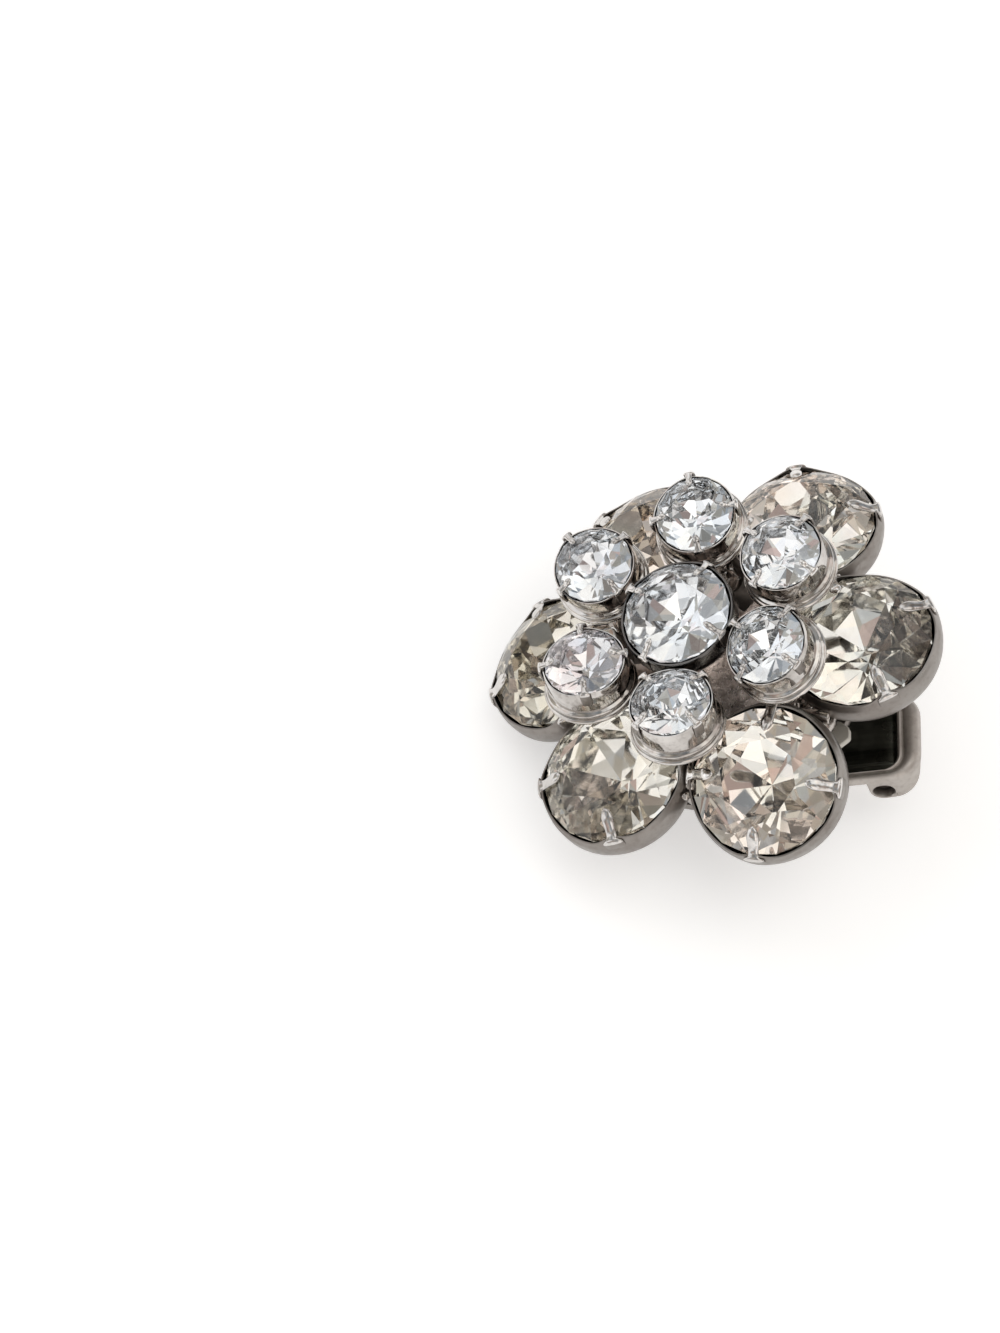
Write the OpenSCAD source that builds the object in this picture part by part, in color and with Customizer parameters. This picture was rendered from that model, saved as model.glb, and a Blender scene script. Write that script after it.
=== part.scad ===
// Cluster earring: six large, one centre and six small round stones in claw cups,
// soldered to one back with a lever clip. It lies on its closed clip and one cup.
// The layout is worked out about the cluster's own axis, then laid down by resting().

/* [Stones] */
// Diameter of a large stone
large_d = 8.9; // [8.5:0.1:9.1]
// Diameter of the centre stone
centre_d = 6.6; // [6.2:0.1:6.8]
// Diameter of a small stone
small_d = 4.8; // [4.5:0.1:4.9]
// Width of the table as a share of the stone
table_share = 0.52; // [0.45:0.01:0.6]
// Slope of the crown facets, degrees
crown_slope = 32; // [28:1:36]
// Slope of the pavilion facets, degrees
pavilion_slope = 36; // [32:1:38]
// Height of the girdle band as a share of the stone
girdle_share = 0.034; // [0.02:0.002:0.05]

/* [Cups] */
// Gap between a stone and its cup
stone_gap = 0.06; // [0.04:0.01:0.1]
// Wall of a large or centre cup
cup_wall = 0.2; // [0.18:0.02:0.24]
// Wall of a small cup
small_wall = 0.2; // [0.18:0.02:0.24]
// Height of a cup's rim above the middle of the girdle
rim_rise = 0.22; // [0.15:0.01:0.3]
// Radius that a small cup's foot ring stands out past its wall
foot_out = 0.28; // [0.2:0.02:0.4]
// Thickness of a small cup's foot ring
foot_t = 0.4; // [0.3:0.05:0.5]
// Depth of a small cup below the middle of the girdle
small_depth = 2.5; // [2.3:0.1:2.8]

/* [Claws] */
// Width of a large cup's claw where it leaves the wall
large_claw_w = 1.1; // [0.9:0.05:1.4]
// Reach of a large cup's claw over its stone
large_claw_reach = 1.1; // [0.9:0.05:1.3]
// Width of the centre cup's claw where it leaves the wall
centre_claw_w = 0.9; // [0.7:0.05:1.1]
// Reach of the centre cup's claw over its stone
centre_claw_reach = 0.8; // [0.6:0.05:1]
// Width of a small cup's claw where it leaves the wall
small_claw_w = 0.7; // [0.5:0.05:0.9]
// Reach of a small cup's claw over its stone
small_claw_reach = 0.55; // [0.45:0.05:0.7]
// Width of a claw's tip as a share of its width at the wall
claw_tip_share = 0.35; // [0.3:0.05:0.5]

/* [Layout] */
// Radius of the ring of large stones
large_ring = 9.75; // [9.6:0.05:10]
// Radius of the ring of small stones
small_ring = 6.5; // [6.4:0.05:6.8]
// Height of the small ring over the large ring
small_rise = 5.4; // [5.2:0.1:5.8]
// Height of the centre stone over the large ring
centre_rise = 5.3; // [5.1:0.1:5.6]

/* [Back] */
// Radius of the round back plate
plate_r = 8.6; // [8:0.1:9]
// Thickness of the back plate
plate_t = 0.8; // [0.7:0.1:1]
// Top of the back plate below the large ring
plate_drop = 3.8; // [3.8:0.1:3.9]
// Radius of the boss behind the plate
boss_r = 5.2; // [4.5:0.1:6]
// Thickness of the boss
boss_t = 1.4; // [1.2:0.1:1.5]

/* [Clip] */
// Azimuth of the clip's hinge about the cluster's axis, degrees
clip_azimuth = -51; // [-56:1:-48]
// Distance of the clip's middle line from the cluster's axis
clip_offset = 3.7; // [3.5:0.1:3.9]
// Slope of the clip frame away from the back plate, degrees
clip_slope = 4; // [2:0.5:6]
// Width of the clip frame over its ears
frame_w = 6; // [5.8:0.1:6.2]
// Reach of the clip frame from the cluster's axis
frame_reach = 11.4; // [11.2:0.1:11.6]
// Thickness of the clip frame's sheet
frame_t = 0.6; // [0.5:0.05:0.7]
// Reach of the hinge pin
pivot_reach = 8.75; // [8.6:0.05:8.9]
// Depth of the hinge pin below the frame's top
pivot_drop = 1.75; // [1.7:0.05:1.8]
// Diameter of the hinge pin
pin_d = 1.3; // [1.2:0.05:1.3]
// Running clearance around the pin
pin_gap = 0.03; // [0.02:0.01:0.05]
// Thickness of the paddle's sheet
paddle_t = 0.8; // [0.7:0.05:0.9]
// Width of the paddle's round pad
pad_w = 8.6; // [8.2:0.1:9]
// Reach of the paddle's lowest bend from the cluster's axis
bend_reach = 3.6; // [3.4:0.1:3.8]
// Width of the lever's neck between its barrel and its pad
neck_w = 3; // [2.6:0.1:3.4]
// Length of the paddle's flat run past the bend
run_length = 7.2; // [6.8:0.1:7.3]

/* [Resting] */
// Lean of the cluster away from the hinge, degrees
rest_lean = 21; // [20:0.5:22]
// Place of the ring's middle over the floor, sideways
rest_x = -0.04; // [-1:0.005:1]
// Place of the ring's middle over the floor, front to back
rest_y = 0.515; // [-1:0.005:1]
// Height of the ring's middle over the floor
rest_z = 8.1; // [8:0.01:9]

/* [Hidden] */

// Large stones: azimuth, change of radius, height, lean outward, lean sideways, turn of the claws
LARGE = [
    [ 1.5,  0.2,  0.0, 14.5,  0, 45],
    [  66, -0.5, -0.3, 10.0,  8, 20],
    [ 124,  0.5,  0.1, 14.0, -1, 20],
    [181.3, -0.2, 0.3,  6.0, -2, 40],
    [ 240,  0.3, -0.1, 17.5, -7, 57],
    [ 303.5, -0.1, 0.2, 3.0,  2, 27],
];
// Small stones: azimuth, change of radius, change of height, lean outward, lean sideways, turn
SMALL = [
    [ 329,  0.4,  0.6,   1, -4, 30],
    [  32,  0.1, -0.2,  -7, -7, 12],
    [  93,  0.3,  0.0,  -8,  3, 74],
    [ 155,  0.0,  0.3, -10, -3, 70],
    [ 215, -0.2,  0.0,  -9,  6, 46],
    [ 277, -0.2, -0.1,  -1, -9, 80],
];
// Centre stone: azimuth, radius, height, lean outward, lean sideways, turn
CENTRE = [0, -0.3, centre_rise, -1, -2, 4];

$fn = 48;
eps = 0.01;

// Stones and cups
FACETS = 8;
CLAWS = 4;
corner = 1 / cos(180 / FACETS);
flat_share = 0.985;
large_r = large_d / 2;
centre_r = centre_d / 2;
small_r = small_d / 2;
claw_gap = 0.1;
large_claw_t = 0.24;
centre_claw_t = 0.2;
small_claw_t = 0.17;
foot_edge = 0.12;

// Section of a bowl, as straight wall, shoulder radius and radius of the flat floor
LARGE_BOWL = [1, 1.6, 1.8];
CENTRE_BOWL = [0.9, 1.3, 1.5];
SMALL_BOWL = [0.6, 0.9 + small_wall, 0.9];

// Seats of all stones, in one form: azimuth, radius, height, lean, sway, turn
large_seats = [for (s = LARGE) [s[0], large_ring + s[1], s[2], s[3], s[4], s[5]]];
small_seats = [for (s = SMALL) [s[0], small_ring + s[1], small_rise + s[2], s[3], s[4], s[5]]];

// Metal under the cups
hub_foot = 4.4;
hub_waist = 3.4;
hub_head = 2.6;
hub_top = centre_rise - 2.97;
arm_r = 0.75;
solder_low = -3;
solder_h = 2;
solder_foot = 1.1;
solder_head = 0.5;
stud_r = 1.6;
stud_low = -4.4;
stud_h = 0.8;
plate_top = -plate_drop;
plate_low = plate_top - plate_t;
clip_top = plate_low - boss_t;

// Clip frame, its window and ears, and the lever that turns between them
ear_t = 0.7;
ear_proud = 0.03;
ear_r = 1.35;
frame_half = frame_w / 2 - ear_proud;
frame_round = 1.1;
frame_back = -4.5;
skirt_drop = 0.45;
window_half = frame_w / 2 - 0.65;
window_end = frame_reach - 1.4;
window_start = 2.2;
window_round = 0.7;
tongue_w = 2.6;
barrel_r = 1.05;
barrel_w = frame_w - 2 * ear_t - 0.2;
pin_sunk = 0.45;
bend_r = 2.4;
arm_drop = 0.5;
pivot = [pivot_reach, -pivot_drop];

// The closed paddle lies flat on the floor: its slope and drop follow from how the cluster rests
paddle_slope = rest_lean - clip_slope;
paddle_drop = rest_z
    + sin(rest_lean) * (pivot[0] * cos(clip_slope) + pivot[1] * sin(clip_slope))
    + cos(rest_lean) * (clip_top - pivot[0] * sin(clip_slope) + pivot[1] * cos(clip_slope));

function crown_height(r) = (r - r * table_share) * tan(crown_slope) + r * girdle_share;
function pavilion_depth(r) = r * tan(pavilion_slope) + r * girdle_share;
function crown_at(r, rho) = r * girdle_share + (r - rho) * tan(crown_slope);
function arc(c, r, a0, a1, n) =
    [for (i = [0:n]) c + r * [cos(a0 + (a1 - a0) * i / n), sin(a0 + (a1 - a0) * i / n)]];

// Half section of a bowl: straight wall, round shoulder, cone and flat floor
function bowl(r, straight, shoulder, floor_r) =
    let (
        bend = arc([r - shoulder, -straight], shoulder, 0, pavilion_slope - 90, 4),
        last = bend[len(bend) - 1],
        low = last[1] - (last[0] - floor_r) * tan(pavilion_slope)
    ) concat(bend, [[floor_r, low], [0, low]]);

module stone(r) {
    table_r = r * table_share;
    top = crown_height(r);
    low = pavilion_depth(r);
    band = r * girdle_share;
    girdle = r * flat_share * corner;
    intersection() {
        rotate([0, 0, 180 / FACETS])
            rotate_extrude($fn = FACETS)
                polygon([[0, -low], [girdle, -band], [girdle, band], [table_r * corner, top], [0, top]]);
        translate([0, 0, -low]) cylinder(r = r, h = low + top, $fn = 64);
    }
}

module seat(s) {
    rotate([0, 0, s[0]]) translate([s[1], 0, s[2]]) rotate([0, s[3], 0])
        rotate([-s[4], 0, 0]) rotate([0, 0, s[5]]) children();
}

module resting() {
    translate([rest_x, rest_y, rest_z]) rotate([0, -rest_lean, 0])
        rotate([0, 0, -clip_azimuth]) children();
}

// Outside of a drawn cup for a large or centre stone
module cup_body(r, form) {
    outer = r + stone_gap + cup_wall;
    rotate_extrude()
        polygon(concat([[0, rim_rise], [outer, rim_rise]], bowl(outer, form[0], form[1], form[2])));
}

// Outside of a small cup, with the foot ring that stands out at its bottom
module small_body() {
    outer = small_r + stone_gap + small_wall;
    foot = outer + foot_out;
    low = -small_depth;
    high = foot_t - small_depth;
    rotate_extrude()
        polygon([[0, rim_rise], [outer, rim_rise], [outer, high], [foot - foot_edge, high],
                 [foot, high - foot_edge], [foot, low + foot_edge], [foot - foot_edge, low], [0, low]]);
}

// Room that a stone and its gap take out of the metal
module stone_room(r, form, wall) {
    inner = r + stone_gap;
    lift = crown_at(r, r) + r * (corner - 1) * tan(crown_slope) + stone_gap;
    top = crown_height(r) + stone_gap;
    rotate_extrude()
        polygon(concat([[0, top], [r * table_share * corner + stone_gap, top], [inner, lift]],
                       bowl(inner, form[0], form[1] - wall, form[2] - stone_gap)));
}

// One claw: a tab of the wall, bent over the crown and narrowing to its tip
module claw(r, wall, base_w, reach, t) {
    inner = r + stone_gap;
    outer = inner + wall;
    tip = r - reach;
    tip_w = base_w * claw_tip_share;
    side = [sin(crown_slope), cos(crown_slope)] * t;
    low_tip = [tip, crown_at(r, tip) + claw_gap];
    low_bend = [inner, crown_at(r, r) + claw_gap];
    root = -0.4;
    proud = 0.03;
    intersection() {
        rotate([90, 0, 0]) linear_extrude(height = base_w, center = true)
            polygon([[inner, root], low_bend, low_tip, low_tip + side,
                     [outer - proud, low_bend[1] + t * 0.9], [outer + proud, low_bend[1] + t * 0.3],
                     [outer + proud, root]]);
        translate([0, 0, -1]) linear_extrude(height = 4)
            polygon([[tip - eps, -tip_w / 2], [inner, -base_w / 2], [outer + 1, -base_w / 2],
                     [outer + 1, base_w / 2], [inner, base_w / 2], [tip - eps, tip_w / 2]]);
    }
}

module claws(r, wall, base_w, reach, t) {
    for (k = [0:CLAWS - 1])
        rotate([0, 0, 360 / CLAWS * k]) claw(r, wall, base_w, reach, t);
}

// Round rod between two points
module rod(p, q, r) {
    d = q - p;
    translate(p) rotate([0, acos(d[2] / norm(d)), atan2(d[1], d[0])])
        cylinder(r = r, h = norm(d), $fn = 24);
}

function polar(azimuth, radius, height) = [radius * cos(azimuth), radius * sin(azimuth), height];

// Column in the middle, with an arm up to each small cup
module hub() {
    rotate_extrude()
        polygon([[0, plate_top - eps], [hub_foot, plate_top - eps], [hub_waist, -0.5],
                 [hub_head, hub_top], [0, hub_top]]);
    for (s = small_seats)
        rod(polar(s[0], 2, 0.6), polar(s[0], s[1] - 0.3, s[2] - small_depth + 0.15), arm_r);
}

// Lumps of solder where neighbouring large cups meet, below their rims
module solder() {
    for (i = [0:len(LARGE) - 1]) {
        a = large_seats[i];
        b = large_seats[(i + 1) % len(LARGE)];
        mid = (polar(a[0], a[1], a[2]) + polar(b[0], b[1], b[2])) / 2;
        translate(mid + [0, 0, solder_low]) cylinder(r1 = solder_foot, r2 = solder_head, h = solder_h);
    }
}

// Round plate, the boss behind it and a stud up to each large cup
module back_plate() {
    translate([0, 0, plate_low]) cylinder(r = plate_r, h = plate_t, $fn = 96);
    translate([0, 0, clip_top - 0.5]) cylinder(r = boss_r, h = boss_t + 0.6, $fn = 64);
    for (s = large_seats)
        seat(s) translate([0, 0, stud_low]) cylinder(r = stud_r, h = stud_h, $fn = 32);
}

module clip_place() {
    rotate([0, 0, clip_azimuth]) translate([0, -clip_offset, clip_top])
        rotate([0, clip_slope, 0]) children();
}

module slab(x0, x1, half, z0, z1, round_r) {
    translate([0, 0, z0]) linear_extrude(height = z1 - z0)
        polygon(concat(
            [[x0, -half]],
            arc([x1 - round_r, -half + round_r], round_r, -90, 0, 5),
            arc([x1 - round_r, half - round_r], round_r, 0, 90, 5),
            [[x0, half]]));
}

// Rounded lip that turns down along the frame's end
module skirt() {
    x = frame_reach - frame_round;
    y = frame_half - frame_round;
    inner = frame_round - frame_t;
    linear_extrude(height = skirt_drop + 0.2)
        polygon(concat(arc([x, -y], frame_round, -90, 0, 5), arc([x, y], frame_round, 0, 90, 5),
                       arc([x, y], inner, 90, 0, 5), arc([x, -y], inner, 0, -90, 5)));
}

// Stamped frame with its ears, soldered behind the plate; its window lets the lever's knuckle show
module clip_frame() {
    difference() {
        union() {
            slab(frame_back, frame_reach, frame_half, -frame_t, 0, frame_round);
            translate([0, 0, -frame_t - skirt_drop]) skirt();
            for (side = [-1, 1])
                translate([pivot[0], side * (frame_w - ear_t) / 2, pivot[1]]) {
                    rotate([90, 0, 0]) cylinder(r = ear_r, h = ear_t, center = true);
                    translate([-ear_r, -ear_t / 2, 0]) cube([2 * ear_r, ear_t, pivot_drop - 0.1]);
                }
        }
        difference() {
            slab(window_start, window_end, window_half, -frame_t - 1, 1, window_round);
            translate([window_start - 1, -tongue_w / 2, -2]) cube([1.6, tongue_w, 4]);
        }
    }
    spring_tongue();
}

// Flat spring cut from the window and bent down towards the knuckle
module spring_tongue() {
    x = window_start;
    rotate([90, 0, 0]) linear_extrude(height = tongue_w, center = true)
        polygon([[x - 0.5, -0.1], [x + 0.5, -0.1], [x + 5, -1], [x + 4.95, -1.35], [x + 0.4, -0.5],
                 [x - 0.5, -0.5]]);
}

// A cup with the room for its stone taken out, and its claws
module large_cup() {
    difference() {
        cup_body(large_r, LARGE_BOWL);
        stone_room(large_r, LARGE_BOWL, cup_wall);
    }
    claws(large_r, cup_wall, large_claw_w, large_claw_reach, large_claw_t);
}

module centre_cup() {
    difference() {
        cup_body(centre_r, CENTRE_BOWL);
        stone_room(centre_r, CENTRE_BOWL, cup_wall);
    }
    claws(centre_r, cup_wall, centre_claw_w, centre_claw_reach, centre_claw_t);
}

module small_cup() {
    difference() {
        small_body();
        stone_room(small_r, SMALL_BOWL, small_wall);
    }
    claws(small_r, small_wall, small_claw_w, small_claw_reach, small_claw_t);
}

module pin_bore(r, w) {
    translate([pivot[0], 0, pivot[1]]) rotate([90, 0, 0]) cylinder(r = r, h = w, center = true);
}

module setting() color("silver") resting() {
    for (s = large_seats) seat(s) large_cup();
    seat(CENTRE) centre_cup();
    for (s = small_seats) seat(s) small_cup();
    hub();
    solder();
    back_plate();
    clip_place() difference() {
        clip_frame();
        pin_bore(pin_d / 2 + pin_gap, frame_w + 2);
    }
}

// Middle line of the lever: from the barrel down to the bend, round it and along the flat run.
// The arm points from the bend's arc to the barrel, and the run lies on the floor.
function lever_line(side) =
    let (
        across = [sin(paddle_slope), cos(paddle_slope)],
        along = [-cos(paddle_slope), sin(paddle_slope)],
        foot = pivot - (paddle_drop - paddle_t / 2) * across,
        c = foot + across * bend_r + along * (foot[0] - bend_reach) / cos(paddle_slope),
        d = pivot - c,
        reach = norm(d),
        arm = atan2(d[1], d[0]) - acos((bend_r - arm_drop) / reach),
        turn = -90 - paddle_slope,
        bend = arc(c, bend_r + side, turn, arm, 8),
        arm_end = bend[8] + sqrt(reach * reach - pow(bend_r - arm_drop, 2)) * [-sin(arm), cos(arm)]
    ) concat([bend[0] + along * run_length], bend, [arm_end]);

function reversed(list) = [for (i = [len(list) - 1:-1:0]) list[i]];

// Plan of the lever: as wide as the room between the ears, a neck, then a pad with a round end
module lever_plan() {
    far = lever_line(0)[0][0] - 1;
    half = pad_w / 2;
    head_x = pivot[0] - barrel_r;
    neck_x = head_x - 0.6;
    pad_x = bend_reach + 1;
    translate([0, 0, -12]) linear_extrude(height = 14)
        polygon(concat(arc([far + half, 0], half, 90, 270, 16),
                       [[bend_reach - 1, -half], [pad_x, -neck_w / 2], [neck_x, -neck_w / 2],
                        [head_x, -barrel_w / 2], [pivot[0] + 1, -barrel_w / 2],
                        [pivot[0] + 1, barrel_w / 2], [head_x, barrel_w / 2],
                        [neck_x, neck_w / 2], [pad_x, neck_w / 2], [bend_reach - 1, half]]));
}

module clip_paddle() color("gainsboro") resting() clip_place() difference() {
    union() {
        intersection() {
            rotate([90, 0, 0]) linear_extrude(height = pad_w + 1, center = true)
                polygon(concat(lever_line(paddle_t / 2), reversed(lever_line(-paddle_t / 2))));
            lever_plan();
        }
        pin_bore(barrel_r, barrel_w);
    }
    pin_bore(pin_d / 2 + pin_gap, frame_w);
}

module hinge_pin() color("darkgray") resting() clip_place()
    pin_bore(pin_d / 2, frame_w - 2 * pin_sunk);

module large_stone(i) color("ivory") resting() seat(large_seats[i]) stone(large_r);
module small_stone(i) color("aliceblue") resting() seat(small_seats[i]) stone(small_r);
module centre_stone() color("azure") resting() seat(CENTRE) stone(centre_r);

setting();
clip_paddle();
hinge_pin();
centre_stone();
for (i = [0:len(LARGE) - 1])
    large_stone(i);
for (i = [0:len(SMALL) - 1])
    small_stone(i);
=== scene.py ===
"""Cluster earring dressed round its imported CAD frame.

Lengths are worked out in millimetres, as in part.scad, and turned into metres when a mesh is made.
Every new piece is a closed shell: a surface of two parameters held as rings of points.
"""
import math

import bpy
import numpy as np
from mathutils import Matrix


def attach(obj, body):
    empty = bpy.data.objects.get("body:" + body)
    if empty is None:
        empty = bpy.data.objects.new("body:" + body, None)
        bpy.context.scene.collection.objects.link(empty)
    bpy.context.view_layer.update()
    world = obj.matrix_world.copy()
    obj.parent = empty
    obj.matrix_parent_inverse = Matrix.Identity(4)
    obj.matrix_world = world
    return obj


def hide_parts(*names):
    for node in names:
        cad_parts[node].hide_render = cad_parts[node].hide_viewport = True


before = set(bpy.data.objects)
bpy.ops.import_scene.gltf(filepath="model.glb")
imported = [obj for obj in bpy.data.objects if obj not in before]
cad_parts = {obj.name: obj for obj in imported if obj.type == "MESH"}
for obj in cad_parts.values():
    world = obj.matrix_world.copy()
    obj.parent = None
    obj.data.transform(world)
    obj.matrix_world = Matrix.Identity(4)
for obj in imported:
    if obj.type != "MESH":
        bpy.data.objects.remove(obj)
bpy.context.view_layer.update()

MM = 0.001
TAU = 2 * math.pi

# sizes, as in part.scad

# the cut: table as a share of the radius, slopes of crown and pavilion in degrees, half the
# girdle as a share of the radius
TABLE_SHARE, CROWN_SLOPE, PAVILION_SLOPE, GIRDLE_SHARE = 0.52, 32.0, 36.0, 0.034
LARGE_R, CENTRE_R, SMALL_R = 4.45, 3.3, 2.4
STONE_GAP, WALL = 0.06, 0.2
# the two drawn bowls: height of the straight wall, radius of the shoulder, radius of the floor
LARGE_FORM, CENTRE_FORM = (1.0, 1.6, 1.8), (0.9, 1.3, 1.5)
# azimuth, radius, height, lean outward, lean sideways, turn of the claws
LARGE_SEATS = [
    (1.5, 9.95, 0.0, 14.5, 0, 45), (66, 9.25, -0.3, 10, 8, 20), (124, 9.85, 0.1, 14, -1, 20),
    (181.3, 9.55, 0.3, 6, -2, 40), (240, 10.05, -0.1, 17.5, -7, 57), (303.5, 9.65, 0.2, 3, 2, 27)]
SMALL_SEATS = [
    (329, 6.9, 6.0, 1, -4, 30), (32, 6.6, 5.2, -7, -7, 12), (93, 6.8, 5.4, -8, 3, 74),
    (155, 6.5, 5.7, -10, -3, 70), (215, 6.3, 5.4, -9, 6, 46), (277, 6.3, 5.3, -1, -9, 80)]
CENTRE_SEAT = (0, -0.3, 5.3, -1, -2, 4)
SMALL_DEPTH = 2.5
PLATE_R, PLATE_TOP, PLATE_LOW, BOSS_R, CLIP_TOP = 8.6, -3.8, -4.6, 5.2, -6.0
HUB_TOP = 2.33
CLIP_AZIMUTH, CLIP_OFFSET, CLIP_SLOPE = -51, 3.7, 4
FRAME_W, FRAME_REACH, FRAME_T, FRAME_BACK = 6.0, 11.4, 0.6, -4.5
PIVOT_X, PIVOT_Z, EAR_T, PIN_R, PIN_GAP = 8.75, -1.75, 0.7, 0.65, 0.03
PADDLE_T, PAD_W, BEND_REACH, NECK_W, RUN_LENGTH = 0.8, 8.6, 3.6, 3.0, 7.2
BEND_R, ARM_DROP, BARREL_R, BARREL_W = 2.4, 0.5, 1.05, 4.4
REST_LEAN, REST_AT = 21, (-0.04, 0.515, 8.1)


# placing

# The three turns about the axes, as matrices

def about_x(degrees):
    c, s = math.cos(math.radians(degrees)), math.sin(math.radians(degrees))
    return np.array([[1, 0, 0], [0, c, -s], [0, s, c]])


def about_y(degrees):
    c, s = math.cos(math.radians(degrees)), math.sin(math.radians(degrees))
    return np.array([[c, 0, s], [0, 1, 0], [-s, 0, c]])


def about_z(degrees):
    c, s = math.cos(math.radians(degrees)), math.sin(math.radians(degrees))
    return np.array([[c, -s, 0], [s, c, 0], [0, 0, 1]])


class Place:
    """A turn followed by a shift. Calling it moves points; within() nests another place in it."""

    def __init__(self, turn, shift):
        self.turn, self.shift = turn, np.asarray(shift, float)

    def __call__(self, points):
        return np.asarray(points, float) @ self.turn.T + self.shift

    def within(self, turn, shift=(0, 0, 0)):
        return Place(self.turn @ turn, self(shift))


CLUSTER = Place(about_y(-REST_LEAN) @ about_z(-CLIP_AZIMUTH), REST_AT)
CLIP = CLUSTER.within(about_z(CLIP_AZIMUTH)).within(
    about_y(CLIP_SLOPE), (0, -CLIP_OFFSET, CLIP_TOP))


def seat(azimuth, radius, height, lean, sway, spin):
    """The place of a stone: out along its azimuth, leaned outward, swayed sideways and spun."""
    out = CLUSTER.within(about_z(azimuth)).within(about_y(lean), (radius, 0, height))
    return out.within(about_x(-sway)).within(about_z(spin))


# surfaces

class Shells:
    """Closed shells gathered into one mesh, with a material slot number for every face."""

    def __init__(self):
        self.points, self.faces, self.slots, self.count = [], [], [], 0

    def add(self, points, faces, place, slot):
        """Adds one shell at its place. The slot is one number, or one for every face. The signed
        volume, summed over fans from each face's first corner, shows a shell that is inside out,
        and its faces are turned."""
        points = np.asarray(points, float)
        volume = sum(
            float(np.einsum("ij,ij->i", points[a], np.cross(points[b], points[c])).sum())
            for a, b, c in fans(faces))
        if volume < 0:
            faces = [tuple(reversed(f)) for f in faces]
        self.points.append(place(points))
        self.faces += [tuple(int(i) + self.count for i in f) for f in faces]
        self.slots += [slot] * len(faces) if np.isscalar(slot) else list(slot)
        self.count += len(points)

    def tube(self, rings, place, looped=False, slot=0):
        """Rings of points (ring, point round it, xyz) joined by quads; open ends get a fan to their
        middle, and a looped tube joins its last ring to its first."""
        rings = np.asarray(rings, float)
        m, n = rings.shape[:2]
        points = rings.reshape(-1, 3)
        index = np.arange(m * n).reshape(m, n)
        if looped:
            low, high = index, np.roll(index, -1, 0)
        else:
            low, high = index[:-1], index[1:]
        quads = np.stack([low, np.roll(low, -1, 1), np.roll(high, -1, 1), high], -1).reshape(-1, 4)
        faces = [tuple(q) for q in quads.tolist()]
        if not looped:
            points = np.vstack([points, rings[0].mean(0), rings[-1].mean(0)])
            first, last = index[0], index[-1]
            faces += [(int(b), int(a), m * n) for a, b in zip(first, np.roll(first, -1))]
            faces += [(int(a), int(b), m * n + 1) for a, b in zip(last, np.roll(last, -1))]
        self.add(points, faces, place, slot)

    def piece(self, name, body, materials, slot, nodes, smooth=True, auto=None):
        """Makes the mesh object, rides it on its body and hides the CAD nodes it stands in for.
        Where auto is given, edges that turn by more degrees than that are sharp."""
        mesh = bpy.data.meshes.new(name)
        mesh.from_pydata((np.vstack(self.points) * MM).tolist(), [], self.faces)
        for m in materials:
            mesh.materials.append(m)
        mesh.polygons.foreach_set("material_index", np.array(self.slots, np.int32))
        mesh.polygons.foreach_set("use_smooth", np.full(len(self.faces), smooth))
        mesh.update()
        if auto is not None:
            mesh.set_sharp_from_angle(angle=math.radians(auto))
        obj = bpy.data.objects.new(name, mesh)
        bpy.context.scene.collection.objects.link(obj)
        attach(obj, body)
        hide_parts(*nodes)


def fans(faces):
    """Triangles of every face, as index arrays, grouped by how many corners the faces have."""
    out = []
    for size in sorted({len(f) for f in faces}):
        f = np.array([x for x in faces if len(x) == size])
        out += [(f[:, 0], f[:, k], f[:, k + 1]) for k in range(1, size - 1)]
    return out


def circle(n):
    """n angles, evenly round a full turn."""
    return TAU * np.arange(n) / n


def climb(value, start, span):
    """0 up to the start, then straight up to 1 over the span."""
    return np.clip((value - start) / span, 0, 1)


def revolved(profile, n, radius_by_angle=None, lift_by_angle=None):
    """A half section turned about Z: point = (rho cos a, rho sin a, z). The optional functions take
    the section and the angles and add to rho and z, for an edge that waves."""
    profile = np.asarray(profile, float)
    a = circle(n)
    rho = np.repeat(profile[:, :1], n, 1)
    z = np.repeat(profile[:, 1:2], n, 1)
    if radius_by_angle is not None:
        rho = rho + radius_by_angle(profile, a)
    if lift_by_angle is not None:
        z = z + lift_by_angle(profile, a)
    return np.stack([rho * np.cos(a), rho * np.sin(a), z], -1)


def swept(path, side, half_width, half_thick, n, power=2.0, dent=0.0):
    """An oval section carried along a path: at every station the point is the path's own plus
    side * width * c plus normal * thickness * s, with c and s a superellipse's cosine and sine.
    dent lowers the outer side along its middle."""
    path = np.asarray(path, float)
    side = np.asarray(side, float) / np.linalg.norm(side)
    along = np.gradient(path, axis=0)
    along /= np.linalg.norm(along, axis=1)[:, None]
    normal = np.cross(along, side)
    normal /= np.linalg.norm(normal, axis=1)[:, None]
    a = circle(n)
    c = np.sign(np.cos(a)) * np.abs(np.cos(a)) ** (2 / power)
    s = np.sign(np.sin(a)) * np.abs(np.sin(a)) ** (2 / power)
    if dent:
        s = np.where(s > 0, s * (1 - dent * np.exp(-(c / 0.4) ** 2)), s)
    w = np.broadcast_to(half_width, len(path))[:, None, None]
    t = np.broadcast_to(half_thick, len(path))[:, None, None]
    return path[:, None] + side * c[None, :, None] * w + normal[:, None] * s[None, :, None] * t


def arc(centre, radius, start, end, n):
    """Points of an arc in the plane, from one angle to another, degrees."""
    a = np.radians(np.linspace(start, end, n))
    return np.stack([centre[0] + radius * np.cos(a), centre[1] + radius * np.sin(a)], -1)


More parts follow.
